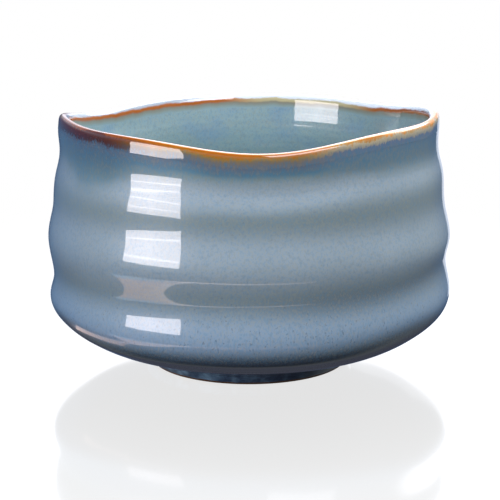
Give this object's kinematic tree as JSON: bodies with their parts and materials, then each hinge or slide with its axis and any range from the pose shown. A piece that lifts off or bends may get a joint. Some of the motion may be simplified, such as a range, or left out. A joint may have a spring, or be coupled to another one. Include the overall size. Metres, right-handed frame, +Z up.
{
  "type": "tea bowl",
  "caption": "Hand-thrown stoneware tea bowl with throwing rings, a wavy rounded lip, a low foot ring and blue-grey glaze coats.",
  "frame": {"origin": "centre of the foot ring's contact face, on the surface that the bowl stands on", "axes": "+Z up along the bowl's axis, -Y towards the side that the picture shows, +X to the right in the picture"},
  "size_m": [0.1196, 0.1196, 0.0761],
  "materials": {
    "stoneware": "fired, covered by the glaze",
    "bare_foot_clay": "fired bare, matte",
    "blue_grey_glaze": "glossy, mottled and speckled",
    "teal_grey_glaze": "glossy, faint bands",
    "amber_iron_glaze": "glossy, amber broken to cream and red-brown",
    "deep_blue_glaze": "glossy, mottled",
    "thin_base_glaze": "glossy, thin"
  },
  "bodies": {
    "root": {"clay_body": "stoneware", "foot_ring": "bare_foot_clay", "outer_glaze": "blue_grey_glaze", "inner_glaze": "teal_grey_glaze", "lip_glaze": "amber_iron_glaze", "foot_glaze": "deep_blue_glaze", "base_glaze": "thin_base_glaze"}
  },
  "joints": []
}
